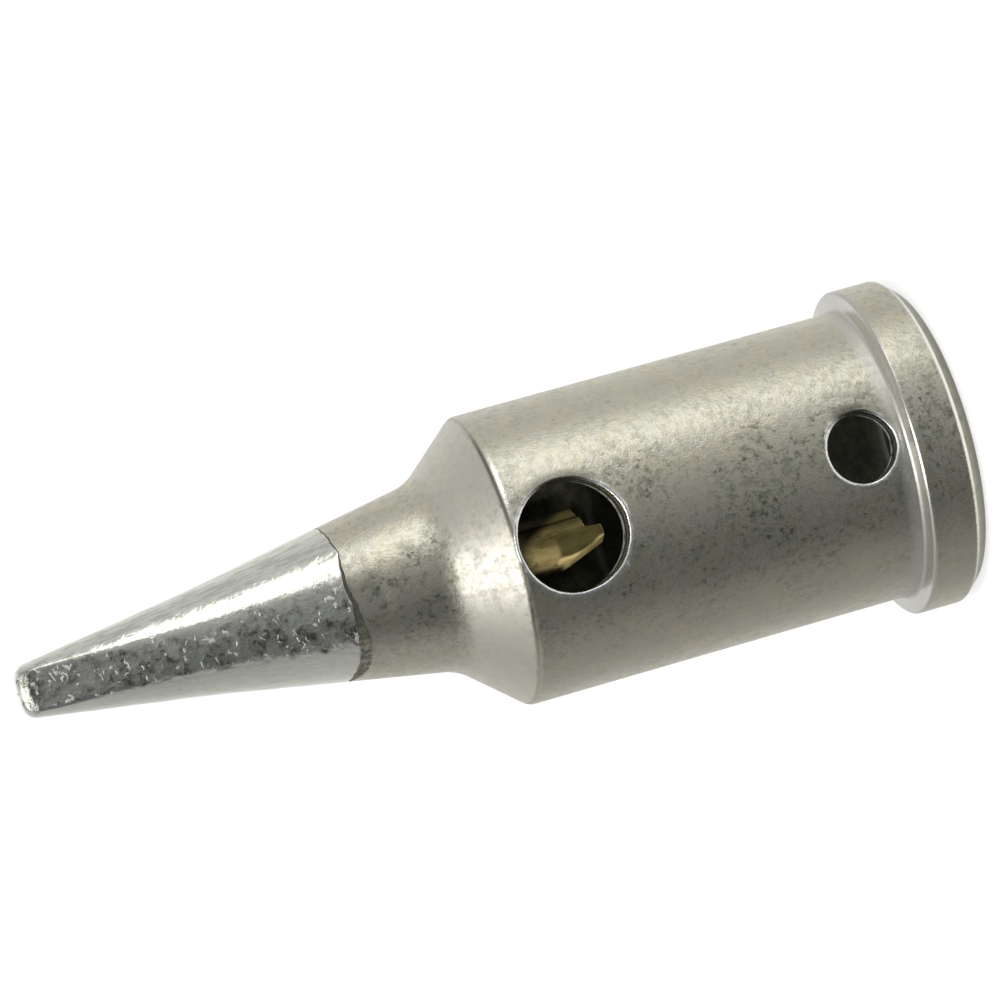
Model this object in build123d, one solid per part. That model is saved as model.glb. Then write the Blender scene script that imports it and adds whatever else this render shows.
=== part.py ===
from build123d import *
import math
import os

# Chisel tip for a gas-fired soldering iron, turned, bored, drilled and milled from one copper bar,
# with the catalyst roll that sits in its chamber. Millimetres and degrees.
# +Z runs along the turning axis towards the blade. The origin is the centre of the flange's rear
# face. The side ports face -Y.

# Flange and barrel
barrel_d = 10.0
barrel_length = 13.7
flange_rim = 0.68
flange_t = 2.05
flange_rear_round = 0.7
flange_front_round = 0.35
flange_root_chamfer = 0.25

# Short cone, neck, long taper and nose
shoulder_length = 2.05
shoulder_round = 0.35
neck_d = 6.48
neck_length = 8.1
neck_fillet = 1.8
nose_d = 3.54
nose_length = 6.3
tip_d = 1.68
tip_round = 0.5

# Chisel flats, milled at an angle to the axis on two sides of the nose
blade_t = 1.0
flat_angle = 10.9
flat_length = 12.5
flat_turn = 5.0

# Bore: the socket for the iron's burner, the chamber past it and the drilled seat of the catalyst
socket_wall = 0.8
socket_depth = 11.0
socket_chamfer = 0.3
chamber_wall = 1.0
chamber_inset = 0.15
drill_point = 118.0

# Side ports, drilled through one wall
exhaust_port_d = 3.7
exhaust_port_setback = 1.89
vent_port_d = 2.35
vent_port_gap = 0.455
vent_port_turn = 2.2

# Catalyst: a strip rolled up, its free end stepped on one side and cut on the skew on the other,
# with a bevel along the skew that looks out of the exhaust port
catalyst_d = 1.95
catalyst_clearance = 0.01
catalyst_reach = 3.7
catalyst_seat_depth = 2.8
strip_t = 0.3
strip_gap = 0.02
strip_turns = 2
lap_step = 0.55
lap_offset = 0.22
skew_offset = 0.4
skew_angle = 69.0
bevel_offset = 0.5
bevel_angle = 72.0
bevel_turn = 24.0

# Radii and heights that follow from the sizes
barrel_r, neck_r, nose_r, tip_r = barrel_d / 2, neck_d / 2, nose_d / 2, tip_d / 2
flange_r = barrel_r + flange_rim
socket_r = barrel_r - socket_wall
chamber_r = barrel_r - chamber_wall
seat_r = catalyst_d / 2 + catalyst_clearance
shoulder_z = flange_t + barrel_length
neck_z = shoulder_z + shoulder_length
nose_z = neck_z + neck_length
tip_z = nose_z + nose_length
chamber_z = shoulder_z - chamber_inset
drill_z = chamber_z + (chamber_r - seat_r) / math.tan(math.radians(drill_point / 2))
seat_z = drill_z + catalyst_seat_depth


def corner(section, r, z):
    """The vertex of a half section at radius r and height z."""
    return section.vertices().sort_by_distance((r, 0, z))[0]


def outside():
    """The turned outside: flange, barrel, short cone, neck, long taper and nose."""
    section = make_face(Polyline(
        (0, 0, 0), (flange_r, 0, 0), (flange_r, 0, flange_t), (barrel_r, 0, flange_t),
        (barrel_r, 0, shoulder_z), (neck_r, 0, neck_z), (nose_r, 0, nose_z), (tip_r, 0, tip_z),
        (0, 0, tip_z), (0, 0, 0)))
    for r, z, radius in (
            (flange_r, 0, flange_rear_round), (flange_r, flange_t, flange_front_round),
            (barrel_r, shoulder_z, shoulder_round), (neck_r, neck_z, neck_fillet),
            (tip_r, tip_z, tip_round)):
        section = fillet(corner(section, r, z), radius)
    section = chamfer(corner(section, barrel_r, flange_t), flange_root_chamfer)
    return revolve(section, Axis.Z)


def bore():
    """What the drills take out of the rear: socket, chamber with its drill point, and seat."""
    section = make_face(Polyline(
        (0, 0, 0), (socket_r + socket_chamfer, 0, 0), (socket_r, 0, socket_chamfer),
        (socket_r, 0, socket_depth), (chamber_r, 0, socket_depth + socket_r - chamber_r),
        (chamber_r, 0, chamber_z), (seat_r, 0, drill_z), (seat_r, 0, seat_z),
        (0, 0, seat_z), (0, 0, 0)))
    return revolve(section, Axis.Z)


def port(diameter, z, turn=0):
    """A drill from the -Y side as deep as the axis, turned towards +X by some degrees."""
    drill = Cylinder(diameter / 2, barrel_d, align=(Align.CENTER, Align.CENTER, Align.MIN))
    return Rot(0, 0, turn) * Pos(0, 0, z) * Rot(90, 0, 0) * drill


def flats():
    """The two blocks that the mill takes off beside the blade; they run out on the taper."""
    over = tip_d
    block = Pos(0, 0, over) * Box(
        neck_d, neck_d, flat_length + over, align=(Align.CENTER, Align.MAX, Align.MAX))
    slope = Pos(0, -blade_t / 2, tip_z) * Rot(-flat_angle, 0, 0)
    return [Rot(0, 0, side - flat_turn) * slope * block for side in (0, 180)]


def tip_body():
    """The whole metal tip, one piece."""
    body = outside() - bore()
    body -= port(exhaust_port_d, shoulder_z - exhaust_port_setback)
    body -= port(vent_port_d, flange_t + vent_port_gap + vent_port_d / 2, vent_port_turn)
    for block in flats():
        body -= block
    return body


def rolled_strip():
    """The end view of the roll: half circles whose radius shrinks by half a pitch each."""
    pitch = strip_t + strip_gap
    edges = []
    for inset in (0, strip_t):
        for half in range(2 * strip_turns):
            centre = -pitch / 2 * (half % 2)
            radius = catalyst_d / 2 - inset - half * pitch / 2
            edges.append(CenterArc((centre, 0), radius, 180 * (half % 2), 180))
    inner = catalyst_d / 2 - strip_turns * pitch
    edges.append(Line((catalyst_d / 2, 0), (catalyst_d / 2 - strip_t, 0)))
    edges.append(Line((inner, 0), (inner - strip_t, 0)))
    return make_face(edges)


def catalyst():
    """The rolled strip in its seat, with its free end cut back to a step, a skew and a bevel."""
    end_z = chamber_z - catalyst_reach
    size = 4 * catalyst_d
    roll = Pos(0, 0, end_z) * extrude(rolled_strip(), seat_z - end_z)
    step = Pos(lap_offset, 0, end_z) * Box(
        size, size, 2 * lap_step, align=(Align.MIN, Align.CENTER, Align.CENTER))
    offcut = Box(size, size, size, align=(Align.CENTER, Align.CENTER, Align.MAX))
    skew = Pos(-skew_offset, 0, end_z) * Rot(0, skew_angle, 0) * offcut
    bevel = Pos(0, 0, end_z) * Rot(0, 0, bevel_turn) * Pos(-bevel_offset, 0, 0)
    bevel *= Rot(0, bevel_angle, 0)
    return roll - step - skew - bevel * offcut


nodes = {
    "tip_body": tip_body(),
    "catalyst": catalyst(),
}

os.makedirs("parts", exist_ok=True)
for name, shape in nodes.items():
    export_step(shape, f"parts/{name}.step")
    print(name, round(shape.volume, 3), "mm3")
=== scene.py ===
# %% [markdown]
# # A chisel tip for a gas-fired soldering iron
# The real tip is one piece of copper, turned on a lathe, bored from the rear, drilled twice through
# one wall, milled to a chisel and plated. Its end is dipped in solder. A small roll of catalyst foil
# sits in its chamber. The imported CAD part is the fixed frame, and it is kept in the scene, hidden.

import bpy
import numpy as np
from mathutils import Matrix


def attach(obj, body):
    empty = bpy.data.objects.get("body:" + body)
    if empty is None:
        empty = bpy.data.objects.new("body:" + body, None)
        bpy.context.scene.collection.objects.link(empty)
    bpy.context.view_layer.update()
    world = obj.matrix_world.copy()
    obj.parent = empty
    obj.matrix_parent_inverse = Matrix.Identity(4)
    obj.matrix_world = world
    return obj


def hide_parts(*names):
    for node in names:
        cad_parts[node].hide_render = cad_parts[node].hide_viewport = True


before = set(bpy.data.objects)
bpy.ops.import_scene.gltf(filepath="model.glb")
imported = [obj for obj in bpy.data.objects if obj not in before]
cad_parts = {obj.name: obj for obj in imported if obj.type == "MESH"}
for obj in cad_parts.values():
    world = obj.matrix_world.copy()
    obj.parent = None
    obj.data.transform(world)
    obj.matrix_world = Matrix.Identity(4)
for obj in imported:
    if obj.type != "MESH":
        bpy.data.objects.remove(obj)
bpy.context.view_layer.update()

# %% [markdown]
# ## Sizes
# The shapes are worked out in millimetres, as they are on a workshop drawing, and brought to metres
# when they become meshes. +Z runs from the flange to the blade, and angles round the axis are
# counted from the side that the ports are in, -Y, towards +X.

# %% Sizes from the drawing
MM = 0.001
TIP_Z, NOSE_Z, NECK_Z, SHOULDER_Z = 32.2, 25.9, 17.8, 15.75
TIP_R, NOSE_R, NECK_R, BARREL_R, FLANGE_R = 0.84, 1.77, 3.24, 5.0, 5.68
FLANGE_T, FLANGE_LEAN = 2.0, 0.11
SOCKET_R, CHAMBER_R, SEAT_R, MOUTH_CHAMFER = 4.2, 4.0, 0.985, 0.3
STEP_Z, CHAMBER_Z, DRILL_Z, SEAT_Z = 11.0, 15.6, 17.412, 20.212
COLUMNS = 256
around = np.arange(COLUMNS) / COLUMNS * 2 * np.pi - np.pi
print("columns round the axis:", COLUMNS, "length, mm:", TIP_Z)


# %% [markdown]
# ## The half section
# A lathe makes everything here from one line in a plane through the axis. Corners of that line are
# rounded as the cutter left them. A circle that touches both runs at a corner replaces it.

# %% A line with rounded corners
def rounded_line(corners, radii, bends):
    """Points (radius, height) along straight runs whose corners are arcs.
    An arc starts radius / tan(half the corner's angle) before the corner and its centre is
    radius / sin(half the angle) along the bisector; points between turn by equal angles."""
    corners = np.asarray(corners, float)
    parts = [corners[:1]]
    for before, at, after, radius in zip(corners[:-2], corners[1:-1], corners[2:], radii):
        if radius == 0:
            parts.append(at[None])
            continue
        back = (before - at) / np.linalg.norm(before - at)
        ahead = (after - at) / np.linalg.norm(after - at)
        half = np.arccos(np.clip(back @ ahead, -1, 1)) / 2
        middle = (back + ahead) / np.linalg.norm(back + ahead)
        centre = at + middle * radius / np.sin(half)
        first = at + back * radius / np.tan(half) - centre
        last = at + ahead * radius / np.tan(half) - centre
        sweep = np.pi - 2 * half
        t = np.linspace(0, 1, bends + 1)[:, None]
        turn = (np.sin((1 - t) * sweep) * first + np.sin(t * sweep) * last) / np.sin(sweep)
        parts.append(centre + turn)
    parts.append(corners[-1:])
    return np.vstack(parts)


def divided(line, step):
    """The same line with more points, none further apart than step along it."""
    parts = [line[:1]]
    for a, b in zip(line[:-1], line[1:]):
        count = max(1, int(np.ceil(np.linalg.norm(b - a) / step)))
        parts.append(a + (b - a) * (np.arange(1, count + 1) / count)[:, None])
    return np.vstack(parts)


def heights(*stops):
    """Heights from one stop to the next; a stop is (height, how many steps lead to it)."""
    parts = [[stops[0][0]]]
    for (a, _), (b, count) in zip(stops[:-1], stops[1:]):
        parts.append(a + (b - a) * np.arange(1, count + 1) / count)
    return np.concatenate(parts)


# %% [markdown]
# ## The outside of the tip
# Blade end, taper, neck, short cone, barrel and flange are one line. The small corners in front of
# the flange are the hollow that the cutter left at its root.

# %% The outside's line
BENDS = 8
drawn = np.array([  # radius, height, rounding of the corner
    (0, TIP_Z, 0), (TIP_R, TIP_Z, 0.5), (NOSE_R, NOSE_Z, 14.0), (NECK_R, NECK_Z, 1.8),
    (BARREL_R, SHOULDER_Z, 0.35), (BARREL_R, FLANGE_T + 0.5, 0.4),
    (BARREL_R + 0.03, FLANGE_T + 0.12, 0.06), (BARREL_R + 0.12, FLANGE_T + 0.03, 0.06),
    (FLANGE_R - 0.07, FLANGE_T - 0.02, 0.06), (FLANGE_R, FLANGE_T - 0.09, 0.06),
    (FLANGE_R, 0.5, 0.15), (FLANGE_R - 0.46, 0, 0.12), (SOCKET_R + MOUTH_CHAMFER, 0, 0)])
turned = rounded_line(drawn[:, :2], drawn[1:-1, 2], BENDS)


def turned_radius(z):
    """Radius of the outside at a height, along the half section's line."""
    return np.interp(-z, -turned[1:, 1], turned[1:, 0])


print("outside's line:", len(turned), "points")

# %% [markdown]
# ## Rows of the outside
# Between the end and the flange the radius is a plain function of the height, so the rows of the
# mesh can lie wherever detail needs them: close together at the solder's edge, the neck and the
# shoulder, and further apart on the barrel. The two blocks of rows that the ports go through have
# the same number of rows outside and inside, so that a port's wall can join them.

# %% Where the rows lie
PLATE_EDGE, SOLDER_EDGE = 20.8, 20.9
EXHAUST_TOP, EXHAUST_FOOT, VENT_TOP, VENT_FOOT = 16.35, 11.4, 5.3, 2.36
exhaust_rows = heights((EXHAUST_TOP, 0), (15.9, 3), (15.58, 11), (15.4, 2), (EXHAUST_FOOT, 19))
vent_rows = heights((VENT_TOP, 0), (VENT_FOOT, 15))
side_heights = np.concatenate([
    heights((31.66, 0), (30.0, 13), (22.0, 46), (21.3, 6), (21.06, 4), (20.92, 6)),
    [SOLDER_EDGE, 20.88, 20.85, 20.82, PLATE_EDGE, 20.78],
    heights((20.75, 0), (20.4, 4), (18.4, 11), (17.25, 15), (16.45, 6)),
    exhaust_rows,
    heights((11.1, 0), (5.6, 15)),
    vent_rows,
])
end_rows = divided(turned[:BENDS + 2], 0.045)[1:]
side_rows = np.stack([turned_radius(side_heights), side_heights], 1)
flange_rows = divided(turned[turned[:, 1] < VENT_FOOT - 0.01], 0.35)
outside = np.vstack([end_rows, side_rows, flange_rows])
print("outside:", len(outside), "rows")

# %% [markdown]
# ## The bore
# The socket takes the iron's burner, the chamber past it ends in the cone that the drill's point
# left, and a smaller hole beyond holds the catalyst. Its rows follow on from the flange's rear
# face, so outside and inside are one closed skin.

# %% Rows of the bore
bored = rounded_line(
    [(SOCKET_R + MOUTH_CHAMFER, 0), (SOCKET_R, MOUTH_CHAMFER), (SOCKET_R, STEP_Z),
     (CHAMBER_R, STEP_Z + 0.2), (CHAMBER_R, CHAMBER_Z), (SEAT_R, DRILL_Z), (SEAT_R, SEAT_Z), (0, SEAT_Z)],
    [0.08, 0, 0.05, 0.15, 0.05, 0.1], bends=4)
walls = bored[bored[:, 1] < SEAT_Z - 0.11]


def bore_radius(z):
    """Radius of the bore at a height, along the half section's line."""
    return np.interp(z, walls[:, 1], walls[:, 0])


def bore_rows(*stops):
    """Rows of the bore from stop to stop."""
    z = heights(*stops)
    return np.stack([bore_radius(z), z], 1)


inside = np.vstack([
    bore_rows((MOUTH_CHAMFER, 0), (2.0, 4)),
    bore_rows((VENT_FOOT, 0), (VENT_TOP, len(vent_rows) - 1)),
    bore_rows((5.8, 0), (10.8, 8), (11.3, 5)),
    bore_rows((EXHAUST_FOOT, 0), (15.35, 21), (15.75, 6), (EXHAUST_TOP, len(exhaust_rows) - 28)),
    bore_rows((16.5, 0), (17.3, 4)),
    divided(bored[bored[:, 1] > 17.31], 0.4)[:-1],
])
print("inside:", len(inside), "rows")

# %% [markdown]
# ## The solder's edge
# Solder covers the end with a thin coat. Its edge wanders round the taper, and on one side the
# plating stops short of it, which leaves a dark strip of burnt flux. Both edges are closed curves:
# heights read off at some angles, joined up, smoothed, and given small ripples of whole waves.

# %% Two wandering lines round the taper
random = np.random.default_rng(7)
edge_angle = np.radians([-180, -140, -105, -84, -67, -48, -33, -23, -10, 5, 14, 25, 37, 50, 72, 110, 150])
plate_edge = [21.30, 21.45, 21.50, 21.42, 21.02, 20.79, 20.75, 20.81, 20.90, 21.06, 21.10, 21.07, 20.98,
              21.09, 21.15, 21.22, 21.12]
strip_wide = [0.05, 0.06, 0.10, 0.12, 0.36, 0.42, 0.43, 0.33, 0.24, 0.15, 0.12, 0.07, 0.05,
              0.05, 0.05, 0.05, 0.05]


def ring_curve(values, ripple, waves):
    """A closed curve through values given at some angles, plus ripples of whole waves."""
    curve = np.interp(around, edge_angle, values, period=2 * np.pi)
    smooth = sum(np.roll(curve, k) for k in range(-2, 3)) / 5
    for wave in waves:
        smooth = smooth + ripple * np.sin(wave * around + random.uniform(0, 6.28)) / np.sqrt(wave)
    return smooth


plate_line = ring_curve(plate_edge, 0.035, (7, 13, 19, 31, 43))
solder_line = plate_line + np.clip(ring_curve(strip_wide, 0.03, (9, 17, 29)), 0.03, 1)
print("burnt strip, mm wide:", (solder_line - plate_line).min().round(2), "to",
      (solder_line - plate_line).max().round(2))


# %% [markdown]
# ## Chisel flats and an uneven coat
# The mill takes a flat off each side of the nose. Where a flat is nearer to the axis than the
# taper, the skin follows the flat, and the edge between them is softened by the solder. The coat
# itself is slightly wavy. Waves with whole numbers of crests close up round the axis.

# %% Soft edges, waves and bent rows
def soft_min(a, b, width):
    """The smaller of two distances, with the corner where they meet rounded over a width."""
    return np.minimum(a, b) - np.maximum(width - np.abs(a - b), 0) ** 2 / (4 * width)


def wavy(angle, z, count, finest, height):
    """A smooth uneven surface: the sum of waves with whole numbers of crests round the axis."""
    total = np.zeros(np.broadcast(angle, z).shape)
    for _ in range(count):
        crests, slope = random.integers(0, 7), random.uniform(0.6, finest) * random.choice([-1, 1])
        total += np.sin(crests * angle + slope * z + random.uniform(0, 6.28))
    return height * total / np.sqrt(count)


def bent_to_edges(z):
    """Rows near the solder's edge moved along the axis so that two of them follow its lines."""
    near = np.clip(1 - np.abs(z - PLATE_EDGE) / 3.2, 0, 1)
    share = np.clip((z - PLATE_EDGE) / (SOLDER_EDGE - PLATE_EDGE), 0, 1)
    shift = (plate_line - PLATE_EDGE) * (1 - share) + (solder_line - SOLDER_EDGE) * share
    return z + near * shift


# %% [markdown]
# ## The outside as a height field
# Every point of the outside is a radius over an angle and a height. The turned line gives the
# radius, and the flats, the coat, the strip's shallow groove and the flange's slight lean change it.

# %% The outside over angle and height
BLADE_T, FLAT_SLOPE, FLAT_TURN, FLAT_FOOT = 1.0, np.tan(np.radians(10.9)), np.radians(-5.0), 19.9
SOLDER_COAT, STRIP_DEPTH, END_ROUND = 0.006, 0.012, 0.3


def rounded_end(z, radius, across):
    """The blade's end, lowered towards its long sides along a quarter circle."""
    beyond = np.clip(np.minimum(radius * across, BLADE_T / 2) - BLADE_T / 2 + END_ROUND, 0, None)
    drop = END_ROUND - np.sqrt(END_ROUND ** 2 - beyond ** 2)
    return z - (drop + 0.06) * np.clip((z - 31.6) / 0.6, 0, 1)


def coat_and_groove(z):
    """How far the solder's coat stands out above its line, less the strip's groove between both."""
    coat = SOLDER_COAT * np.clip((z - solder_line) / 0.06, 0, 1) ** 0.5
    in_strip = np.minimum(z - plate_line, solder_line - z)
    return coat - STRIP_DEPTH * np.clip(in_strip / 0.03, 0, 1) ** 0.5


def skin_points():
    """Radius and height of every point of the outside."""
    z = np.repeat(outside[:, 1:], COLUMNS, 1)
    full_r = np.repeat(outside[:, :1], COLUMNS, 1)
    on_side = (z < 31.4) & (z > 17.2)
    z = np.where(on_side, bent_to_edges(z), z)
    full_r = np.where(on_side, turned_radius(z), full_r)
    across = np.abs(np.cos(around - FLAT_TURN))
    z = rounded_end(z, full_r, across)
    flat = (BLADE_T / 2 + (TIP_Z - z) * FLAT_SLOPE) / np.maximum(across, 0.05)
    flat = np.where(z < FLAT_FOOT, 99, flat)
    edge_width = 0.06 + 0.12 * np.clip((30.5 - z) / 6, 0, 1)
    radius = np.minimum(soft_min(full_r, flat, edge_width), full_r)
    front = np.clip((z - 1.6) / 0.3, 0, 1) * np.clip((2.5 - z) / 0.35, 0, 1)
    z = z + FLANGE_LEAN * front * np.cos(around) * full_r / FLANGE_R
    clear_of_axis = np.clip(full_r / 0.8, 0, 1)
    uneven = wavy(around, z, 26, 6.0, 0.004) * np.clip((z - solder_line) / 0.3, 0, 1) * clear_of_axis
    return radius + coat_and_groove(z) * clear_of_axis + uneven, z


skin_r, skin_z = skin_points()
print("narrowest and widest row of the nose, mm:", skin_r[20].min().round(3), skin_r[20].max().round(3))


# %% [markdown]
# ## Where the solder is wiped
# The iron is wiped on a wet sponge, always on the same side, so one band along the taper is grey
# and scratched and the rest stays bright. The band lies between two lines that run out to the
# flat's edges near the blade. The lower line is sharp and the upper one is soft.

# %% The wiped share of each point
def wiped_share():
    """1 inside the wiped band, 0 outside, with a ragged border; the far flat is wiped a little."""
    stations = [20, 24, 27, 29, 30.5, 32.2]
    low = np.interp(skin_z, stations, [-36, -35, -34, -38, -44, -60])
    high = np.interp(skin_z, stations, [13, 11, 13, 26, 42, 62])
    ragged = 2.0 * np.sin(2.1 * skin_z + 0.4) + 1.5 * np.sin(5.3 * skin_z) + np.sin(11.7 * skin_z + 1)
    soft = np.interp(skin_z, [20, 27, 29], [20, 14, 8])
    angle = np.degrees(around)
    above_low = np.clip((angle - low - ragged) / 3 + 0.5, 0, 1)
    below_high = np.clip((high + 2 * ragged - angle) / soft + 0.5, 0, 1)
    from_back = np.abs((angle - np.degrees(FLAT_TURN) + 360) % 360 - 180)
    back = np.clip((24 - from_back) / 12, 0, 1)
    return np.maximum(above_low * below_high, 0.8 * back) * (skin_z < TIP_Z - 0.01)


wiped = wiped_share()
print("wiped share of all points:", wiped.mean().round(3))

# %% [markdown]
# ## Ports
# Each port is drilled square to the axis, so its rim is a saddle. Seen along the drill the rim is a
# plain circle. A block of the grid is left out round each port. Rings of points run from the edge
# of that block to the circle, over a small burred lip, down the drilled wall, and out again to the
# edge of the block on the inside. A weight on each ring says how bright the metal is made there:
# worn bare metal on the outer lip, and a painted highlight on the wall's inner edge.

# %% Rings and their wear
SURFACE_SHARES = np.append(np.arange(1, 15) / 15, [0.975, 1.0])
LIP_TURNS = np.radians([18, 36, 54, 72, 90])
WALL_SHARES = (0.2, 0.4, 0.6, 0.8, 1.0)
INNER_SHARES = (0.0, 0.12, 0.3, 0.55, 0.8)
# Per ring: worn bright metal on the outer lip, and a painted highlight on the wall's inner edge.
WEAR_AND_GLINT = np.array([0] * 14 + [0.9, 1.0] + [1.0] * 5 + [0.25, 0, 0, 0.9, 1.0] + [1.0, 0.2, 0, 0, 0])
PLATED_RINGS = len(SURFACE_SHARES) + len(LIP_TURNS) + 1
LIP, BURR_LIFT, INNER_LIP = 0.11, 0.012, 0.04


def outer_depth(x, z):
    """How far towards -Y the outside lies at a place across the axis and a height."""
    return np.sqrt(turned_radius(z) ** 2 - x ** 2)


def inner_depth(x, z):
    """How far towards -Y the bore's surface lies there."""
    return np.sqrt(np.maximum(bore_radius(z) ** 2 - x ** 2, 0.01))


def turned_about_axis(points, turn):
    """Points turned about the axis by an angle."""
    c, s = np.cos(turn), np.sin(turn)
    x, y = points[..., 0], points[..., 1]
    return np.stack([c * x - s * y, s * x + c * y, points[..., 2]], -1)


print("rings of a port:", len(WEAR_AND_GLINT), "of which plated:", PLATED_RINGS)


# %% [markdown]
# ## From a block of the grid to a hole
# Between a loop and the hole a ring is the blend of both, laid on the surface along the drill. The
# lip is a quarter round with a burr, and the wall is straight.

# %% Rings through one wall
def port_rings(outer_edge, inner_edge, radius, centre_z, turn):
    """Rings of points through one wall, between the loops of points outer_edge and inner_edge."""
    hole = np.array([0, centre_z])
    outer_flat = turned_about_axis(outer_edge, -turn)[:, [0, 2]]
    inner_flat = turned_about_axis(inner_edge, -turn)[:, [0, 2]]
    angle_out = np.arctan2(*(outer_flat - hole).T[::-1])
    angle_in = np.arctan2(*(inner_flat - hole).T[::-1])
    angle_in = angle_out + (angle_in - angle_out + np.pi) % (2 * np.pi) - np.pi
    burr = 0.010 * np.sin(5 * angle_out + centre_z) + 0.007 * np.sin(13 * angle_out) \
        + 0.005 * np.sin(29 * angle_out + 1)
    lip = LIP + burr

    def circle(size, angle):
        return hole + np.stack([size * np.cos(angle), size * np.sin(angle)], 1)

    def ring(flat, depth):
        return np.stack([flat[:, 0], -depth, flat[:, 1]], 1)

    rings = []
    for share in SURFACE_SHARES:
        flat = outer_flat * (1 - share) + circle(radius + lip, angle_out) * share
        lift = (BURR_LIFT + burr) * max(0.0, share - 0.9) / 0.1
        rings.append(ring(flat, outer_depth(*flat.T) + lift))
    for rolled in LIP_TURNS:
        flat = circle(radius + lip * (1 - np.sin(rolled)), angle_out)
        down = lip * (1 - np.cos(rolled)) - (BURR_LIFT + burr) * np.cos(rolled)
        rings.append(ring(flat, outer_depth(*flat.T) - down))
    for share in WALL_SHARES:
        flat = circle(radius, angle_out * (1 - share) + angle_in * share)
        from_outside, from_inside = outer_depth(*flat.T) - lip, inner_depth(*flat.T) + INNER_LIP
        rings.append(ring(flat, from_outside * (1 - share) + from_inside * share))
    for share in INNER_SHARES:
        flat = inner_flat * share + circle(radius + INNER_LIP, angle_in) * (1 - share)
        rings.append(ring(flat, inner_depth(*flat.T)))
    return turned_about_axis(np.array(rings), turn)


def smudge(rings, radius, centre_z, turn):
    """How sooty the skin is round a port: full at the rim, gone 0.4 mm away, and only on one side."""
    across = rings[..., 0] * np.cos(turn) + rings[..., 1] * np.sin(turn)
    away = np.hypot(across, rings[..., 2] - centre_z)
    near = np.clip(1.3 - (away - radius) / 0.32, 0, 1)
    return near * np.clip(4 * across / away - 2.8, 0, 1)


def rim_wear_and_glint(rings, radius, centre_z):
    """Bright share of each point: worn lip metal all round, a painted highlight on the inner edge nearer the
    mouth.
    """
    mouth_side = np.clip(1.6 * (centre_z - rings[..., 2]) / radius - 0.3, 0, 1)
    mouth_side[:PLATED_RINGS] = 1
    return WEAR_AND_GLINT[:, None] * mouth_side


# %% [markdown]
# ## One closed skin
# The rows of the outside and of the bore make one grid that closes at the blade's end and at the
# seat's end in single points. A block of faces is left out for each port, outside and inside, and
# the port's rings join the two edges that this leaves.

# %% The grid and its two ports
inner_r, inner_z = (np.repeat(inside[:, k:k + 1], COLUMNS, 1) for k in (0, 1))
all_r, all_z = np.vstack([skin_r, inner_r]), np.vstack([skin_z, inner_z])
grid = np.stack([all_r * np.sin(around), -all_r * np.cos(around), all_z], 2)
row_count, bore_start = len(grid), len(outside)
row_heights = np.concatenate([outside[:, 1], inside[:, 1]])
grid_points = np.vstack([grid.reshape(-1, 3), [[0, 0, TIP_Z], [0, 0, SEAT_Z]]])
number = np.arange(row_count * COLUMNS).reshape(row_count, COLUMNS)
end_point, seat_point = row_count * COLUMNS, row_count * COLUMNS + 1


def row_at(z, first, last):
    """The row between two rows that lies nearest to a height."""
    return first + int(np.argmin(np.abs(row_heights[first:last] - z)))


def loop_of(rows, columns):
    """Numbers of the grid's points round the edge of a block, in order."""
    low, high, first, last = *rows, *columns
    way = 1 if low < high else -1
    return np.concatenate([number[low, first:last], number[low:high:way, last],
                           number[high, last:first:-1], number[high:low:-way, first]])


def quads_between(first, second):
    """Four-cornered faces between two closed loops of points with the same count."""
    return np.stack([second, np.roll(second, -1), np.roll(first, -1), first], 1)


print("grid:", row_count, "rows of", COLUMNS)

# %% [markdown]
# ## Joining the ports
# The exhaust port shows the catalyst, and the vent lets air in beside the flange. Each is a radius,
# a height, a turn about the axis, half the width of its block in degrees, and the block's rows.

# %% Rings of both ports and what they carry
PLATING, SOLDER, STRIP, BORE = 0, 1, 2, 3
PORTS = [(1.85, 13.86, 0.0, 34.0, EXHAUST_TOP, EXHAUST_FOOT),
         (1.175, 3.68, np.radians(2.2), 25.0, VENT_TOP, VENT_FOOT)]
kept = np.ones((row_count - 1, COLUMNS), bool)
points, wear_and_glint, smudged = [grid_points], [np.zeros(len(grid_points))], [np.zeros(len(grid_points))]
faces, face_finish = [], []
for radius, centre_z, turn, half_width, top, foot in PORTS:
    centre = COLUMNS // 2 + int(round(turn / (2 * np.pi) * COLUMNS))
    reach = int(round(half_width / 360 * COLUMNS))
    columns = (centre - reach, centre + reach)
    out_rows = (row_at(top, 0, bore_start), row_at(foot, 0, bore_start))
    in_rows = (row_at(top, bore_start, row_count), row_at(foot, bore_start, row_count))
    kept[out_rows[0]:out_rows[1], columns[0]:columns[1]] = False
    kept[in_rows[1]:in_rows[0], columns[0]:columns[1]] = False
    outer_loop, inner_loop = loop_of(out_rows, columns), loop_of(in_rows, columns)
    rings = port_rings(grid_points[outer_loop], grid_points[inner_loop], radius, centre_z, turn)
    first_number = sum(len(p) for p in points)
    ring_number = first_number + np.arange(rings.shape[0] * rings.shape[1]).reshape(rings.shape[:2])
    points.append(rings.reshape(-1, 3))
    wear_and_glint.append(rim_wear_and_glint(rings, radius, centre_z).ravel())
    smudged.append(smudge(rings, radius, centre_z, turn).ravel())
    loops = [outer_loop, *ring_number, inner_loop]
    for k, (first, second) in enumerate(zip(loops[:-1], loops[1:])):
        faces.append(quads_between(first, second))
        face_finish.append(np.full(len(first), PLATING if k < PLATED_RINGS else BORE))
    print("port: rows", out_rows, in_rows, "points a ring", len(outer_loop))

# %% [markdown]
# ## The finish of each face
# A face's place in the grid says what it is: plating, the burnt strip, solder, or the sooted bore.
# The strip and the solder start at the two rows that were bent to follow the wandering lines.

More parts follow.
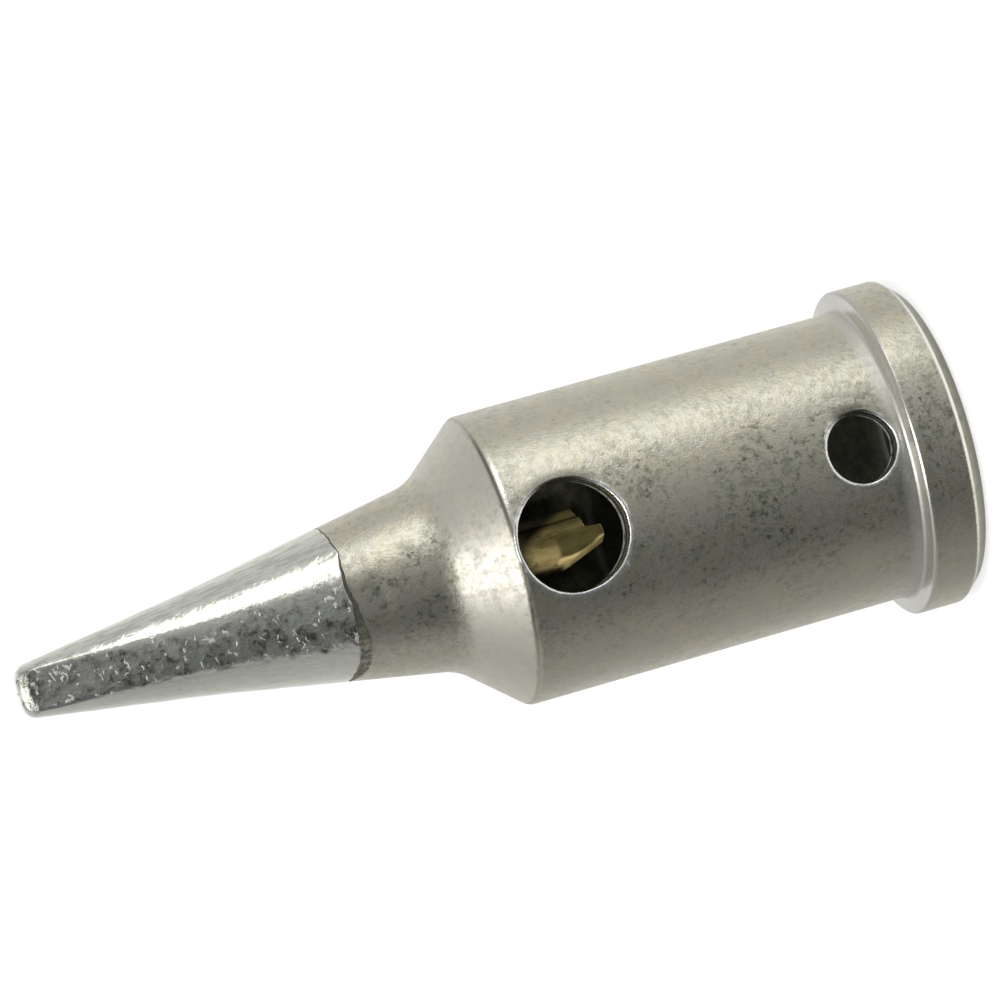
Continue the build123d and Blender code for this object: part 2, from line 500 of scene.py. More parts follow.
# %% Faces of the grid and the two fans that close it
rows_of, columns_of = np.nonzero(kept)
right = (columns_of + 1) % COLUMNS
faces.append(np.stack([number[rows_of, columns_of], number[rows_of + 1, columns_of],
                       number[rows_of + 1, right], number[rows_of, right]], 1))
finish = np.full(len(rows_of), PLATING)
finish[rows_of < row_at(PLATE_EDGE, len(end_rows), bore_start)] = STRIP
finish[rows_of < row_at(SOLDER_EDGE, len(end_rows), bore_start)] = SOLDER
finish[rows_of >= bore_start - 1] = BORE
end_fan = np.stack([np.full(COLUMNS, end_point), number[0], np.roll(number[0], -1)], 1)
seat_fan = np.stack([np.full(COLUMNS, seat_point), np.roll(number[-1], -1), number[-1]], 1)
face_finish += [finish, np.full(COLUMNS, SOLDER), np.full(COLUMNS, BORE)]
print("faces of the grid:", len(rows_of), "in ports:", sum(len(f) for f in faces[:-1]))


# %% [markdown]
# ## Making meshes
# A mesh is filled in one go from arrays of points and faces. Point attributes carry what a finish
# needs to follow on the surface, such as how far the solder is wiped.

# %% From arrays to an object
def make_piece(name, points, quads, triangles, finishes, attributes=None):
    """A mesh object with its place in its mesh, in metres; finishes are the faces' material slots."""
    mesh = bpy.data.meshes.new(name)
    points = np.asarray(points, float) * MM
    corners = np.concatenate([np.ravel(quads), np.ravel(triangles)]).astype(np.int32)
    sizes = np.concatenate([np.full(len(quads), 4), np.full(len(triangles), 3)])
    starts = np.concatenate([[0], np.cumsum(sizes)[:-1]]).astype(np.int32)
    mesh.vertices.add(len(points))
    mesh.vertices.foreach_set("co", points.astype(np.float32).ravel())
    mesh.loops.add(len(corners))
    mesh.loops.foreach_set("vertex_index", corners)
    mesh.polygons.add(len(sizes))
    mesh.polygons.foreach_set("loop_start", starts)
    mesh.polygons.foreach_set("material_index", np.asarray(finishes, np.int32))
    mesh.update(calc_edges=True)
    mesh.validate()
    mesh.shade_smooth()
    for key, values in (attributes or {}).items():
        layer = mesh.attributes.new(key, "FLOAT", "POINT")
        layer.data.foreach_set("value", np.asarray(values, np.float32).ravel())
    piece = bpy.data.objects.new(name, mesh)
    bpy.context.scene.collection.objects.link(piece)
    print(name, len(points), "points,", int((sizes - 2).sum()), "triangles")
    return piece


all_points = np.vstack(points)
carried = {
    "wiped": np.concatenate([wiped.ravel(), np.zeros(len(all_points) - wiped.size)]),
    "wear_and_glint": np.concatenate(wear_and_glint),
    "smudge": np.concatenate(smudged),
}
tip = make_piece("tip_skin", all_points, np.vstack(faces), np.vstack([end_fan, seat_fan]),
                 np.concatenate(face_finish), carried)

# %% [markdown]
# ## The catalyst
# Thin foil is rolled up and pushed into its seat. Its end view is a chain of half circles, each a
# half pitch smaller than the one before. The free end was snipped off: straight at the tongue, back
# by a step on one side, and on the skew on the other. The sheet's edge is rounded a little.

# %% The snipped end
FOIL_R, FOIL_T, FOIL_PITCH, FOIL_TURNS = 0.975, 0.31, 0.32, 2
FOIL_END, LAP_AT, LAP_STEP, LAYER_AT, LAYER_RISE = 11.9, 0.22, 0.55, 0.66, 0.6
SKEW_AT, SKEW_RISE = -0.4, np.tan(np.radians(69.0))
BEVEL_AT, BEVEL_RISE, BEVEL_TURN = -0.5, np.tan(np.radians(72.0)), np.radians(24.0)
# Where the band of painted light on the foil's slanted side ends: heights and places across the roll.
LIT_BAND_HEIGHTS = [11.9, 12.1, 12.31, 12.72, 13.19, 13.6, 14.0]
LIT_BAND_PLACES = [-0.1, -0.15, -0.30, -0.46, -0.53, -0.52, -1.0]


def foil_end(x, y):
    """Height of the foil's free end: a step on one side with a torn corner, a slant on the other,
    and a second slant that is turned towards the port."""
    lap = LAP_STEP * np.clip((x - LAP_AT) / 0.04 + 0.5, 0, 1) + LAYER_RISE * np.maximum(x - LAYER_AT, 0)
    towards = x * np.cos(BEVEL_TURN) + y * np.sin(BEVEL_TURN)
    slants = np.maximum((SKEW_AT - x) * SKEW_RISE, (BEVEL_AT - towards) * BEVEL_RISE)
    return FOIL_END + np.maximum(lap, slants)


print("foil's end at the tongue, mm:", foil_end(0.0, 0.0))


# %% [markdown]
# ## Rolling the foil
# One parameter runs along the roll and the other round the sheet's section, which is a rectangle
# with a rounded lower end. An attribute marks the snipped end and a band along its slanted lower side,
# where light is painted into the foil's colour.

# %% Points of the rolled foil
def rolled_foil(along=60, up=40):
    """The foil as a closed surface. Along the roll, the half circle number k has its centre half a
    pitch to one side when k is odd; round the sheet, the section is a rounded rectangle whose lower
    end follows the snipped line. The outermost layer swells a little where it is loose."""
    turn = np.linspace(0, 2 * np.pi * FOIL_TURNS, 2 * FOIL_TURNS * along + 1)
    k = np.minimum((turn / np.pi).astype(int), 2 * FOIL_TURNS - 1)
    centre, radius = -FOIL_PITCH / 2 * (k % 2), FOIL_R - k * FOIL_PITCH / 2
    bend = np.radians(np.linspace(0, 180, 9))
    rise = np.linspace(0, 1, up) ** 1.5
    across = np.concatenate([np.cos(bend) * 0.5, np.full(up - 1, -0.5), np.linspace(-0.5, 0.5, 4)[1:],
                             np.full(up - 2, 0.5)])
    share = np.concatenate([np.zeros(9), rise[1:], np.ones(3), rise[-2:0:-1]])
    dip = np.concatenate([1 - np.sin(bend), np.zeros(len(across) - 9)]) * 0.02
    reach = radius[:, None] - FOIL_T / 2 + across * FOIL_T
    x = centre[:, None] + reach * np.cos(turn)[:, None]
    y = reach * np.sin(turn)[:, None]
    low = foil_end(x, y) + dip
    z = low + (SEAT_Z - 0.01 - low) * share
    outermost = (across > 0.4) & (turn[:, None] < 2 * np.pi)
    loose = np.clip((z - 13.88 - 0.1 * x) / 0.15, 0, 1) * np.clip((16.8 - z) / 1.0, 0, 1) * outermost
    swell = 1 + 0.03 * loose * np.clip(0.4 - x, 0, 1)
    # Painted light: the snipped end and a band beside it on the slanted side are marked for the lit colour.
    lit_band = np.maximum(np.clip((np.interp(z, LIT_BAND_HEIGHTS, LIT_BAND_PLACES) - x) / 0.07, 0, 1), share < 0.002)
    return np.stack([x * swell, y * swell, z], 2), lit_band


foil, lit_band = rolled_foil()
print("foil:", foil.shape[0], "places along the roll and", foil.shape[1], "round the sheet")

# %% [markdown]
# ## The foil's mesh
# Each place along the roll joins the next one all the way round the sheet. Both ends of the sheet
# are closed with a fan.

# %% Foil mesh
foil_number = np.arange(foil.shape[0] * foil.shape[1]).reshape(foil.shape[:2])
ahead = np.roll(foil_number, -1, 1)
foil_quads = np.stack([foil_number[:-1], ahead[:-1], ahead[1:], foil_number[1:]], 2).reshape(-1, 4)
caps = [np.stack([np.full(len(row) - 2, row[0]), row[2:], row[1:-1]], 1)[:, ::flip]
        for row, flip in ((foil_number[0], 1), (foil_number[-1], -1))]
catalyst = make_piece("catalyst_roll", foil.reshape(-1, 3), foil_quads, np.vstack(caps),
                      np.zeros(len(foil_quads) + sum(len(cap) for cap in caps)), {"lit_band": lit_band})


# %% [markdown]
# ## A short way to write node trees
# A finish is a chain of small steps: coordinates, noise, a ramp, a mix. One helper adds a step,
# sets its values or links its inputs, and hands back its output.

# %% Helpers for single steps
def step(tree, kind, inputs=None, output=0, **settings):
    """Adds a node. inputs maps a socket's name or number to a value or to another node's output."""
    made = tree.nodes.new(kind)
    for key, value in settings.items():
        setattr(made, key, value)
    for key, value in (inputs or {}).items():
        if isinstance(value, bpy.types.NodeSocket):
            tree.links.new(value, made.inputs[key])
        else:
            made.inputs[key].default_value = value
    return made.outputs[output]


def maths(tree, operation, *values):
    """One sum on one, two or three values."""
    return step(tree, "ShaderNodeMath", dict(enumerate(values)), operation=operation)


def times(tree, first, *others):
    """Values multiplied with each other."""
    for other in others:
        first = maths(tree, "MULTIPLY", first, other)
    return first


def ranged(tree, value, low, high, to_low=0.0, to_high=1.0):
    """A value taken from one range to another and held inside it, with soft ends."""
    return step(tree, "ShaderNodeMapRange",
                {0: value, 1: low, 2: high, 3: to_low, 4: to_high}, interpolation_type="SMOOTHSTEP")


def band(tree, value, foot, full, still_full, top):
    """1 where a value lies between full and still_full, and down to 0 at foot and at top."""
    return times(tree, ranged(tree, value, foot, full), ranged(tree, value, top, still_full))


def noise(tree, place, scale, detail=3.0, roughness=0.6, distortion=0.0):
    """Cloudy noise in three dimensions, from 0 to 1."""
    return step(tree, "ShaderNodeTexNoise", {"Vector": place, "Scale": scale, "Detail": detail,
                                             "Roughness": roughness, "Distortion": distortion})


def stretched(tree, place, scale):
    """A place scaled apart along the three axes."""
    return step(tree, "ShaderNodeMapping", {"Vector": place, "Scale": scale})


def coordinates(tree, place):
    """The three coordinates of a place, as numbers."""
    made = tree.nodes.new("ShaderNodeSeparateXYZ")
    tree.links.new(place, made.inputs[0])
    return made.outputs


# %% [markdown]
# ## Colours, ramps and materials
# Colours are mixed by a share from 0 to 1. On a turned part much depends on the angle round the
# axis, so a ramp can be looked up by that angle.

# %% Helpers for colours and materials
def blend(tree, share, first, second):
    """A colour between two colours."""
    made = tree.nodes.new("ShaderNodeMix")
    made.data_type = "RGBA"
    for key, value in ((0, share), (6, first), (7, second)):
        if isinstance(value, bpy.types.NodeSocket):
            tree.links.new(value, made.inputs[key])
        else:
            made.inputs[key].default_value = value if key == 0 else (*value, 1.0)
    return made.outputs[2]


def ramp(tree, value, stops):
    """A colour looked up between stops, each a place from 0 to 1 and a colour."""
    made = tree.nodes.new("ShaderNodeValToRGB")
    elements = made.color_ramp.elements
    while len(elements) < len(stops):
        elements.new(0.5)
    for element, (place, colour) in zip(elements, stops):
        element.position = place
        element.color = (*colour, 1.0)
    tree.links.new(value, made.inputs[0])
    return made.outputs[0]


def round_the_axis(tree, place, stops):
    """A value by the angle round the turning axis, in degrees from -Y towards +X, from a ramp."""
    x, y, _ = coordinates(tree, place)
    angle = maths(tree, "ARCTAN2", x, times(tree, y, -1.0))
    share = maths(tree, "MULTIPLY_ADD", angle, 0.5 / np.pi, 0.5)
    return ramp(tree, share, [((degrees + 180) / 360, tuple(value * np.ones(3))) for degrees, value in stops])


def new_finish(name):
    """A material with an empty surface shader, and its place in millimetres on the object."""
    finish = bpy.data.materials.new(name)
    finish.use_nodes = True
    tree = finish.node_tree
    place = step(tree, "ShaderNodeTexCoord", output=3)
    place = step(tree, "ShaderNodeVectorMath", {0: place, 1: (1000, 1000, 1000)}, operation="MULTIPLY")
    return finish, tree, place


def attribute(tree, name):
    """A point attribute of the mesh, as a number."""
    return step(tree, "ShaderNodeAttribute", attribute_name=name, output=2)


def surface(finish, colour, rough, height, depth, metallic):
    """Links colour, roughness and fine relief to a finish's shader. The relief's depth is in metres."""
    tree = finish.node_tree
    shader = tree.nodes["Principled BSDF"]
    bump = step(tree, "ShaderNodeBump", {"Height": height, "Strength": 1.0, "Distance": depth})
    for key, value in (("Base Color", colour), ("Roughness", rough), ("Normal", bump)):
        tree.links.new(value, shader.inputs[key])
    shader.inputs["Metallic"].default_value = metallic
    print(finish.name + ":", len(tree.nodes), "nodes")
    return shader


# %% [markdown]
# ## Plating: clouds and specks
# The nickel plating is satin, not polished: the copper below was tumbled, so it sparkles finely
# where the lamp shows in it. Clouds of grey tarnish and small dark specks lie on it, most of them
# on the side that faces the ports.

# %% Satin nickel plating, its colour all over
plating, tree, place = new_finish("nickel_plating")
clouds = noise(tree, place, 0.55, 3.0, 0.62)
grain = noise(tree, place, 3.4, 4.0, 0.72)
specks = noise(tree, place, 5.0, 3.0, 0.6)
fine = noise(tree, place, 14.0, 2.0, 0.6)
# Tarnish and specks by the angle round the axis: full between about -22 and 16 degrees, less elsewhere.
tarnish_by_angle = round_the_axis(tree, place, [(-180, 0.5), (-60, 0.2), (-38, 0.45), (-22, 1.0), (16, 1.0),
                                       (30, 0.45), (60, 0.3), (120, 0.5), (180, 0.5)])
cream = ranged(tree, noise(tree, place, 1.2, 4.0, 0.65), 0.44, 0.64, 0.0, 0.8)
clouded = times(tree, ranged(tree, clouds, 0.36, 0.62, 0.3, 1.0), tarnish_by_angle)
tarnish = times(tree, clouded, ranged(tree, grain, 0.44, 0.62))
dark_specks = times(tree, ranged(tree, specks, 0.53, 0.69), clouded, 0.75)
colour = blend(tree, cream, (0.735, 0.715, 0.60), (0.79, 0.745, 0.575))
colour = blend(tree, tarnish, colour, (0.41, 0.415, 0.325))
colour = blend(tree, dark_specks, colour, (0.15, 0.148, 0.12))
print("plating:", len(tree.nodes), "nodes so far")

# %% [markdown]
# ## Plating: rubbed faces, painted highlights and painted shade
# Faces that the collar nut rubs are cleaner than the rest. Thin painted highlights lie along the shoulder's
# edge and the flange's rear edge, and painted shade lies just past the shoulder, on the flange face's far
# sides and on the rear chamfer, darkest next to the paper. The flange's root is painted lighter, partly
# cleaner plating and partly a painted reflection of the flange face. Each is a band of heights, and
# some run only part of the way round the tip.

# %% Bands along the axis
_, depth, height = coordinates(tree, place)
upright = maths(tree, "MULTIPLY_ADD", depth, FLANGE_LEAN / FLANGE_R, height)
flange_face = band(tree, upright, 1.86, 1.90, 2.08, 2.16)
# The flange's root is painted lighter: partly cleaner plating, partly a painted reflection of the flange face.
flange_root = band(tree, height, 2.05, 2.15, 2.4, 2.8)
cone = band(tree, height, 15.8, 16.0, 17.3, 17.9)
# Painted highlight: a thin bright line on the flange's rear round, strongest between about -8 and 45 degrees.
painted_rear_highlight = times(tree, band(tree, height, 0.38, 0.43, 0.53, 0.58), round_the_axis(tree, place, [
    (-180, 0.4), (-45, 0.1), (-25, 0.3), (-8, 1), (45, 1), (70, 0.3), (180, 0.4)]))
# Painted highlight: a thin bright line on the shoulder's round, only between about 16 and 34 degrees.
painted_shoulder_highlight = times(tree, band(tree, height, 15.58, 15.64, 15.70, 15.78), round_the_axis(tree, place, [
    (-180, 0), (8, 0), (16, 1), (34, 1), (44, 0), (180, 0)]))
# Painted shade: a dark band just past the shoulder, mostly between about -25 and 45 degrees.
shoulder_shade = times(tree, band(tree, height, 15.74, 15.79, 15.83, 15.90), round_the_axis(tree, place, [
    (-180, 0.2), (-50, 0.3), (-25, 1), (45, 1), (60, 0.3), (180, 0.2)]))
# Painted shade: the flange face is darker on its far sides, about 75 degrees either way from the ports.
far_side_shade = round_the_axis(tree, place, [(-180, 0), (-75, 1), (-55, 0.6), (-35, 0), (50, 0), (75, 1), (180, 0)])
# Painted shade: the rear chamfer is dark and darker still towards the paper it stands on; tarnish clouds it too.
rear_chamfer_shade = blend(tree, ranged(tree, height, 0.40, 0.08), (0.34, 0.33, 0.27), (0.20, 0.195, 0.155))
rear_chamfer_shade = blend(tree, tarnish, rear_chamfer_shade, (0.22, 0.215, 0.17))
face_colour = blend(tree, far_side_shade, (0.72, 0.71, 0.66), (0.57, 0.56, 0.51))
for share, shade in (
        (times(tree, cone, 0.6), (0.80, 0.775, 0.70)),
        (painted_shoulder_highlight, (0.99, 0.97, 0.90)),
        (shoulder_shade, (0.25, 0.24, 0.20)),
        (flange_root, (0.80, 0.79, 0.71)),
        (ranged(tree, height, 0.45, 0.37), rear_chamfer_shade),
        (flange_face, face_colour),
        (painted_rear_highlight, (0.95, 0.94, 0.88)),
        (attribute(tree, "wear_and_glint"), (0.98, 0.98, 0.95)),
        (attribute(tree, "smudge"), (0.14, 0.135, 0.105))):
    colour = blend(tree, share, colour, shade)
print("plating:", len(tree.nodes), "nodes so far")

# %% [markdown]
# ## Plating: how rough it is
# The grain that colours the plating also roughens it, so dull spots scatter light more. The rubbed
# flange face, the worn port lips and the painted highlight lines are smoother, and the root of the
# flange, which nothing rubs, is rougher.

# %% Roughness and relief of the plating
rough = ranged(tree, grain, 0.35, 0.7, 0.30, 0.42)
rough = maths(tree, "MULTIPLY_ADD", attribute(tree, "wear_and_glint"), -0.08, rough)
rough = maths(tree, "MULTIPLY_ADD", cone, 0.09, rough)
rough = maths(tree, "MULTIPLY_ADD", flange_root, 0.15, rough)
rubbed_and_highlit = maths(tree, "MAXIMUM", maths(tree, "MAXIMUM", flange_face, painted_rear_highlight), painted_shoulder_highlight)
rough = maths(tree, "MULTIPLY_ADD", rubbed_and_highlit, -0.1, rough)
calm = maths(tree, "MULTIPLY_ADD", maths(tree, "MAXIMUM", flange_face, times(tree, cone, 0.6)), -0.95, 1.0)
tumbled = times(tree, maths(tree, "MULTIPLY_ADD", fine, 0.6, grain), calm)
surface(plating, colour, rough, tumbled, 0.000015, metallic=1.0)

# %% [markdown]
# ## Solder
# Solder is brighter than the plating and nearly mirror-like on the round sides. The wiped band
# carries flecks, small bright spots, short scratches across the taper and a grey bloom. The side
# above it is drawn out in faint streaks along the taper.

# %% Wiped solder
solder, tree, place = new_finish("wiped_solder")
wiped_here = attribute(tree, "wiped")
patches = noise(tree, place, 1.5, 4.0, 0.6, 0.3)
fleck = noise(tree, place, 4.2, 4.0, 0.68, 0.2)
upper = round_the_axis(tree, place, [(-180, 0.5), (-36, 0.15), (28, 0.0), (42, 1.0), (100, 1.0), (180, 0.5)])
streak = noise(tree, stretched(tree, place, (4.0, 4.0, 0.5)), 1.5, 3.0, 0.6)
swirl = step(tree, "ShaderNodeTexNoise", {"Vector": place, "Scale": 2.0}, 1)
bent = step(tree, "ShaderNodeVectorMath", {0: place, 1: swirl}, operation="ADD")
spot = step(tree, "ShaderNodeTexVoronoi", {"Vector": bent, "Scale": 1.7})
scratch = step(tree, "ShaderNodeTexVoronoi", {"Vector": stretched(tree, bent, (1.7, 1.3, 6.0)), "Scale": 1.0})
marks = maths(tree, "MAXIMUM", ranged(tree, spot, 0.20, 0.12), ranged(tree, scratch, 0.27, 0.12))
marks = times(tree, marks, wiped_here)
grey = times(tree, ranged(tree, patches, 0.40, 0.60), wiped_here)
streaked = times(tree, ranged(tree, streak, 0.45, 0.58, 0.0, 0.42), upper)
dark = times(tree, ranged(tree, fleck, 0.48, 0.60), grey)
colour = blend(tree, grey, (0.93, 0.935, 0.845), (0.60, 0.605, 0.53))
colour = blend(tree, streaked, colour, (0.50, 0.50, 0.43))
colour = blend(tree, dark, colour, (0.22, 0.22, 0.19))
colour = blend(tree, times(tree, marks, 0.9), colour, (0.99, 0.99, 0.97))
rough = maths(tree, "MULTIPLY_ADD", wiped_here, 0.08, ranged(tree, patches, 0.35, 0.7, 0.15, 0.21))
rough = maths(tree, "MULTIPLY_ADD", marks, 0.35, rough)
pitted = times(tree, maths(tree, "MULTIPLY_ADD", marks, 0.25, fleck), wiped_here)
surface(solder, colour, rough, maths(tree, "MULTIPLY_ADD", patches, 1.2, pitted), 0.00003, metallic=1.0)

# %% [markdown]
# ## Burnt flux
# The strip between plating and solder is bare, burnt and matt. It is darkest between about -30 and
# 45 degrees round the axis, on the side that faces the ports.

# %% Burnt strip
burnt, tree, place = new_finish("burnt_strip")
crust = noise(tree, place, 7.0, 4.0, 0.7)
colour = blend(tree, ranged(tree, crust, 0.38, 0.62), (0.07, 0.067, 0.052), (0.21, 0.20, 0.155))
# Darker by the angle round the axis, most between about -30 and 45 degrees.
darker_by_angle = round_the_axis(tree, place, [(-180, 0.4), (-55, 0.0), (-40, 0.1), (-30, 0.6), (-15, 0.85), (20, 0.85),
                                    (45, 0.5), (180, 0.4)])
colour = blend(tree, darker_by_angle, colour, (0.03, 0.029, 0.023))
surface(burnt, colour, ranged(tree, crust, 0.3, 0.7, 0.45, 0.7), crust, 0.000015, metallic=0.15)

# %% [markdown]
# ## Soot
# The bore is darkened by the flame: brown-black, with a weak metal sheen. Where a port's wall ends
# in the bore, its edge carries a painted highlight here and there, on the side nearer the socket's mouth.

# %% Sooted bore
sooted, tree, place = new_finish("sooted_bore")
soot = noise(tree, place, 2.0, 4.0, 0.65)
colour = blend(tree, ranged(tree, soot, 0.35, 0.7), (0.022, 0.023, 0.015), (0.062, 0.06, 0.038))
# Painted highlight: the port walls' inner edges are light here and there, on the side nearer the socket's mouth.
inner_edge_glint = times(tree, attribute(tree, "wear_and_glint"), ranged(tree, noise(tree, place, 3.0), 0.3, 0.55))
colour = blend(tree, inner_edge_glint, colour, (0.95, 0.94, 0.88))
shader = surface(sooted, colour, ranged(tree, soot, 0.3, 0.7, 0.55, 0.75), soot, 0.00003, metallic=0.1)
shader.inputs["Specular IOR Level"].default_value = 0.25

# %% [markdown]
# ## Catalyst foil
# Coated foil looks like old brass: golden brown with fibrous streaks along the roll's axis and a few
# dark burnt dots. The light that comes in through the exhaust port is painted into its colour: a lit
# golden copy past the crease and on the marked end band, a lit band along its top, painted shade on the
# wing and under the roll, painted shade deeper in the chamber, and a painted shadow of the port's rim.

# %% Oxidised foil
oxidised, tree, place = new_finish("oxidised_foil")
side, _, height = coordinates(tree, place)
streaks = noise(tree, stretched(tree, place, (4.0, 4.0, 1.2)), 1.4, 3.0, 0.55)
fibres = ranged(tree, streaks, 0.35, 0.68)
past_crease = ranged(tree, maths(tree, "MULTIPLY_ADD", side, -0.1, height), 13.45, 13.67)
# Painted light: past the crease the lower side takes the lit copy, and so does the marked end band.
painted_light_share = times(tree, past_crease, ranged(tree, side, 0.3, -0.6, 0.0, 0.44))
painted_light_share = maths(tree, "MAXIMUM", painted_light_share, attribute(tree, "lit_band"))
# A shaded and a lit copy of one foil colour: painted shade and painted light.
plain = blend(tree, fibres, (0.115, 0.096, 0.034), (0.08, 0.066, 0.021))
lit = blend(tree, fibres, (0.93, 0.73, 0.33), (0.64, 0.47, 0.18))
# A slanting line across the foil, beyond which the port's rim casts a painted shadow.
port_rim_shadow_line = maths(tree, "MULTIPLY_ADD", side, 1.9, height)
blots = ranged(tree, noise(tree, place, 4.2, 2.0, 0.5), 0.60, 0.72, 0.0, 0.8)
colour = blend(tree, painted_light_share, plain, lit)
# Painted light and shade: a lit band along the top, painted shade on the wing, the painted shadow of the port's
# rim, painted shade deeper in the chamber and under the roll, and real burnt dots.
for share, shade in (
        (times(tree, band(tree, side, 0.1, 0.45, 0.64, 0.68), 0.22), lit),
        (ranged(tree, side, 0.64, 0.68), (0.090, 0.076, 0.028)),
        (ranged(tree, port_rim_shadow_line, 14.5, 15.2), (0.012, 0.010, 0.005)),
        (ranged(tree, height, 14.3, 15.0), (0.05, 0.042, 0.018)),
        (times(tree, ranged(tree, side, -0.70, -0.90), past_crease), (0.05, 0.042, 0.02)),
        (times(tree, blots, past_crease), (0.06, 0.05, 0.02))):
    colour = blend(tree, share, colour, shade)
surface(oxidised, colour, ranged(tree, streaks, 0.3, 0.7, 0.5, 0.65), streaks, 0.00004, metallic=0.2)

# %% [markdown]
# ## Joining looks to the frame
# Each piece gets its finishes in its own material slots, stands for its CAD node, which is hidden, and
# rides on the part's one body.

# %% Slots, nodes and body
for finish in (plating, solder, burnt, sooted):
    tip.data.materials.append(finish)
catalyst.data.materials.append(oxidised)
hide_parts("tip_body")
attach(tip, "root")
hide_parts("catalyst")
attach(catalyst, "root")

# %% [markdown]
# ## The studio
# The tip stands on pale paper. Metal shows what is round it, so the room matters as much as the
# lamps: it is white behind the tip and above it, and falls away to a dark side where the camera
# is. The room's brightness is a table by azimuth, with others for what lies below the horizon and
# overhead, and its dark side is slightly blue. The camera itself sees plain white behind the tip.

# %% The room's brightness by direction
COOL = np.array([0.965, 1.0, 1.04])
ROOM = [(-180, 0.88), (-160, 0.70), (-140, 0.53), (-120, 0.43), (-100, 0.37), (-78, 0.33), (-62, 0.15 * COOL),
        (-40, 0.10 * COOL), (-15, 0.15 * COOL), (5, 0.23 * COOL), (25, 0.35), (40, 0.44), (60, 0.52), (80, 0.51),
        (100, 0.50), (120, 0.56), (140, 0.68), (160, 0.84), (180, 0.92)]
BELOW = [(-180, 1.0), (-150, 0.95), (-125, 0.80), (-100, 0.70), (-78, 0.66), (-50, 0.68), (-30, 0.82),
         (0, 1.0), (30, 1.0), (180, 1.0)]
HIGH = [(-180, 0.95), (-160, 0.66), (-140, 0.48), (-120, 0.44), (-100, 0.55), (-80, 0.62), (-60, 0.65),
        (0, 0.60), (20, 0.66), (40, 0.60), (60, 0.50), (80, 0.41), (100, 0.42), (120, 0.46), (140, 0.52),
        (160, 0.66), (180, 0.95)]
UNDERFOOT = (0.92, 0.92, 0.90)


def room(tree, direction):
    """Brightness of the room by direction. The azimuth, counted from -Y towards +X, is looked up in
    a ramp, and below the horizon in a second one that scales the first. Overhead and underfoot
    other values take over."""
    rise = coordinates(tree, direction)[2]
    above = round_the_axis(tree, direction, ROOM)
    scale = blend(tree, ranged(tree, rise, 0.02, -0.14), (1, 1, 1), round_the_axis(tree, direction, BELOW))
    level = step(tree, "ShaderNodeVectorMath", {0: above, 1: scale}, operation="MULTIPLY")
    level = blend(tree, ranged(tree, rise, 0.45, 0.9), level, round_the_axis(tree, direction, HIGH))
    return blend(tree, ranged(tree, rise, -0.5, -0.8), level, UNDERFOOT)


world = bpy.data.worlds.new("studio")
bpy.context.scene.world = world
world.use_nodes = True
tree = world.node_tree
level = room(tree, step(tree, "ShaderNodeTexCoord"))
seen = step(tree, "ShaderNodeLightPath")
tree.links.new(blend(tree, seen, level, (1, 1, 1)), tree.nodes["Background"].inputs["Color"])
print("room:", len(tree.nodes), "nodes")

# %% [markdown]
# ## Paper on the table
# The paper is matt and pale, with a glow that brings it up to the white behind, so that only the
# tip's soft shadow shows on it. The glow is for the camera alone, and nearly none of it is left
# inside the socket's mouth, which stands on it; there the paper's colour is dark too, as painted shade.
# Mirrored and scattered rays pass through the paper to the room, which has its own brightness below.

# %% The paper and its glow
PAPER_GLOW, BORE_GLOW, GLOW_EDGE, PAINTED_SHADE_EDGE = 0.72, 0.012, (4.6, 5.4), (4.6, 5.2)
SHEET = 3000.0
paper, tree, place = new_finish("pale_paper")
tree.nodes.remove(tree.nodes["Principled BSDF"])
ray = tree.nodes.new("ShaderNodeLightPath").outputs
let_through = ray["Is Glossy Ray"]
for kind in ("Is Transmission Ray", "Is Shadow Ray", "Is Diffuse Ray"):
    let_through = maths(tree, "MAXIMUM", let_through, ray[kind])
from_axis = step(tree, "ShaderNodeVectorMath", {0: place}, output=1, operation="LENGTH")
glowing = times(tree, ray["Is Camera Ray"], ranged(tree, from_axis, *GLOW_EDGE, BORE_GLOW, PAPER_GLOW))
pale = blend(tree, noise(tree, place, 1.5, 2.0), (0.52, 0.52, 0.52), (0.56, 0.56, 0.56))
# Painted shade: the paper is dark inside the socket's mouth.
pale = blend(tree, ranged(tree, from_axis, *PAINTED_SHADE_EDGE), (0.12, 0.12, 0.09), pale)
matt = step(tree, "ShaderNodeBsdfDiffuse", {"Color": pale})
glow = step(tree, "ShaderNodeEmission", {"Strength": glowing})
seen_matt = step(tree, "ShaderNodeAddShader", {0: matt, 1: glow})
open_room = step(tree, "ShaderNodeBsdfTransparent")
both = step(tree, "ShaderNodeMixShader", {0: let_through, 1: seen_matt, 2: open_room})
tree.links.new(both, tree.nodes["Material Output"].inputs["Surface"])
floor = make_piece("floor", [(-SHEET, -SHEET, 0), (SHEET, -SHEET, 0), (SHEET, SHEET, 0), (-SHEET, SHEET, 0)],
                   [[0, 1, 2, 3]], np.zeros((0, 3), int), [0])
floor.data.materials.append(paper)


# %% [markdown]
# ## Lamps
# Area lamps are softboxes: large, near and plain. One stands at the side and one hangs above. Two
# small fills beside the camera reach the foil through the exhaust port. The metal doesn't mirror
# them, so they leave no spots on the barrel.

# %% Softboxes and fills
LAMP_DISTANCE, AIM_HEIGHT = 0.30, 0.015


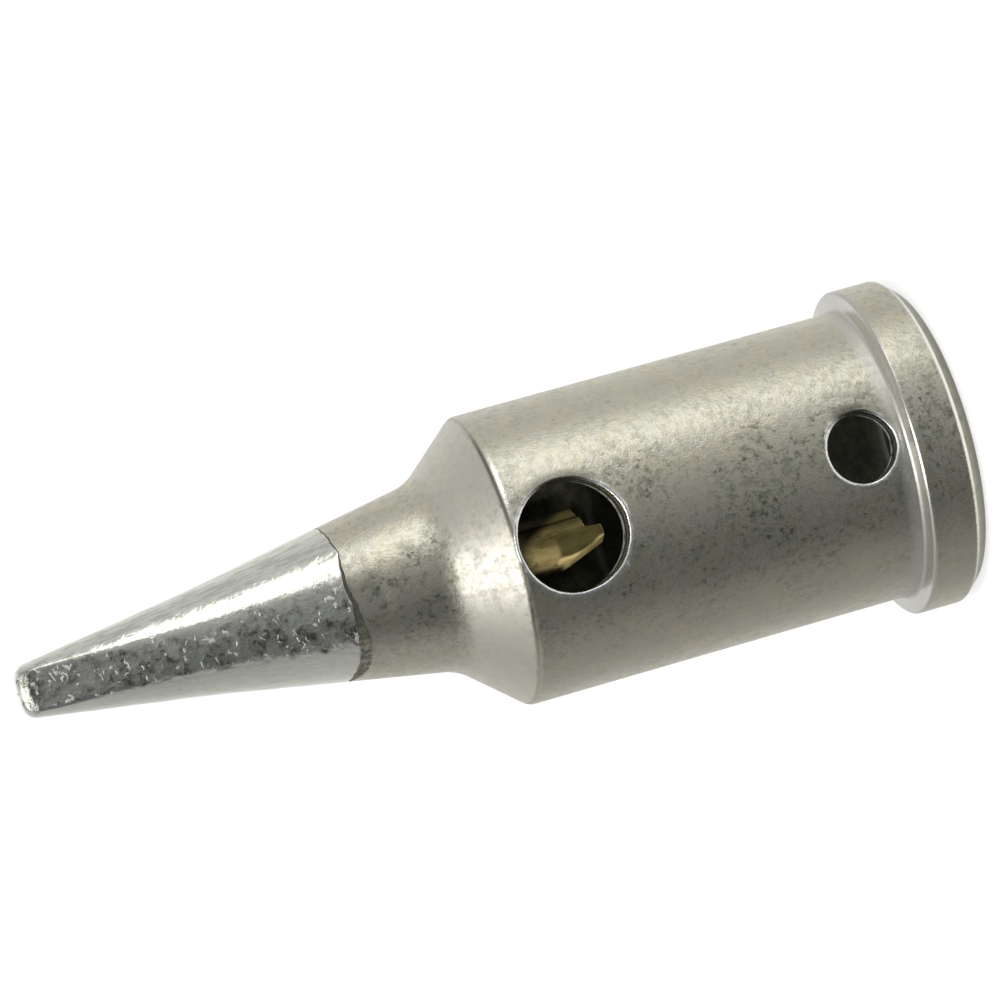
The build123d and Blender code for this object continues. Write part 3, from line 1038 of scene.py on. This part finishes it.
def softbox(name, azimuth, elevation, size, radiance, roll=0.0):
    """A rectangular lamp that faces the tip; its power is radiance x pi x area. Roll leans it over."""
    a, e, r = np.radians(azimuth), np.radians(elevation), np.radians(roll)
    back = np.array([np.sin(a) * np.cos(e), -np.cos(a) * np.cos(e), np.sin(e)])
    level = np.cross([0, 0, 1.0], back)
    level /= np.linalg.norm(level)
    side = np.cos(r) * level + np.sin(r) * np.cross(back, level)
    lamp = bpy.data.lights.new(name, "AREA")
    lamp.shape, lamp.size, lamp.size_y = "RECTANGLE", *size
    lamp.energy = radiance * np.pi * size[0] * size[1]
    holder = bpy.data.objects.new(name, lamp)
    place = np.array([0, 0, AIM_HEIGHT]) + back * LAMP_DISTANCE
    turn = np.stack([side, np.cross(back, side), back], 1)
    holder.matrix_world = Matrix([[*turn[k], place[k]] for k in range(3)] + [[0, 0, 0, 1]])
    bpy.context.scene.collection.objects.link(holder)
    print(name, "power, W:", round(lamp.energy, 4))
    return holder


softbox("side_softbox", 60, 2, (0.15, 0.28), 1.05, 28)
softbox("top_softbox", -18, 69, (0.15, 0.15), 2.6)
softbox("low_fill", -13, 5, (0.05, 0.05), 80.0).visible_glossy = False
softbox("high_fill", 6, 5, (0.05, 0.05), 14.0).visible_glossy = False

# %% [markdown]
# ## Camera
# The camera stands well back with a long lens. Its place and its turn are the ones at which the
# drawing's rims and outline fall where they should. It lies on its side, because the tip stands
# upright here and lies across the picture.

# %% Camera
cam = bpy.data.objects.new("camera", bpy.data.cameras.new("camera"))
cam.data.sensor_width, cam.data.lens = 36.0, 172.8
cam.data.clip_start, cam.data.clip_end = 0.01, 20.0
right_hand = np.array([-0.27496334, -0.19576558, -0.94131344])
overhead = np.array([0.96104914, -0.08439715, -0.26317613])
eye = np.array([-2.606, -157.154, 48.838]) * MM
turn = np.stack([right_hand, overhead, np.cross(right_hand, overhead)], 1)
cam.matrix_world = Matrix([[*turn[k], eye[k]] for k in range(3)] + [[0, 0, 0, 1]])
bpy.context.scene.collection.objects.link(cam)
bpy.context.scene.camera = cam
bpy.context.scene.view_settings.view_transform = "Standard"
print("camera is", round(float(np.linalg.norm(eye)), 3), "m from the flange's centre")
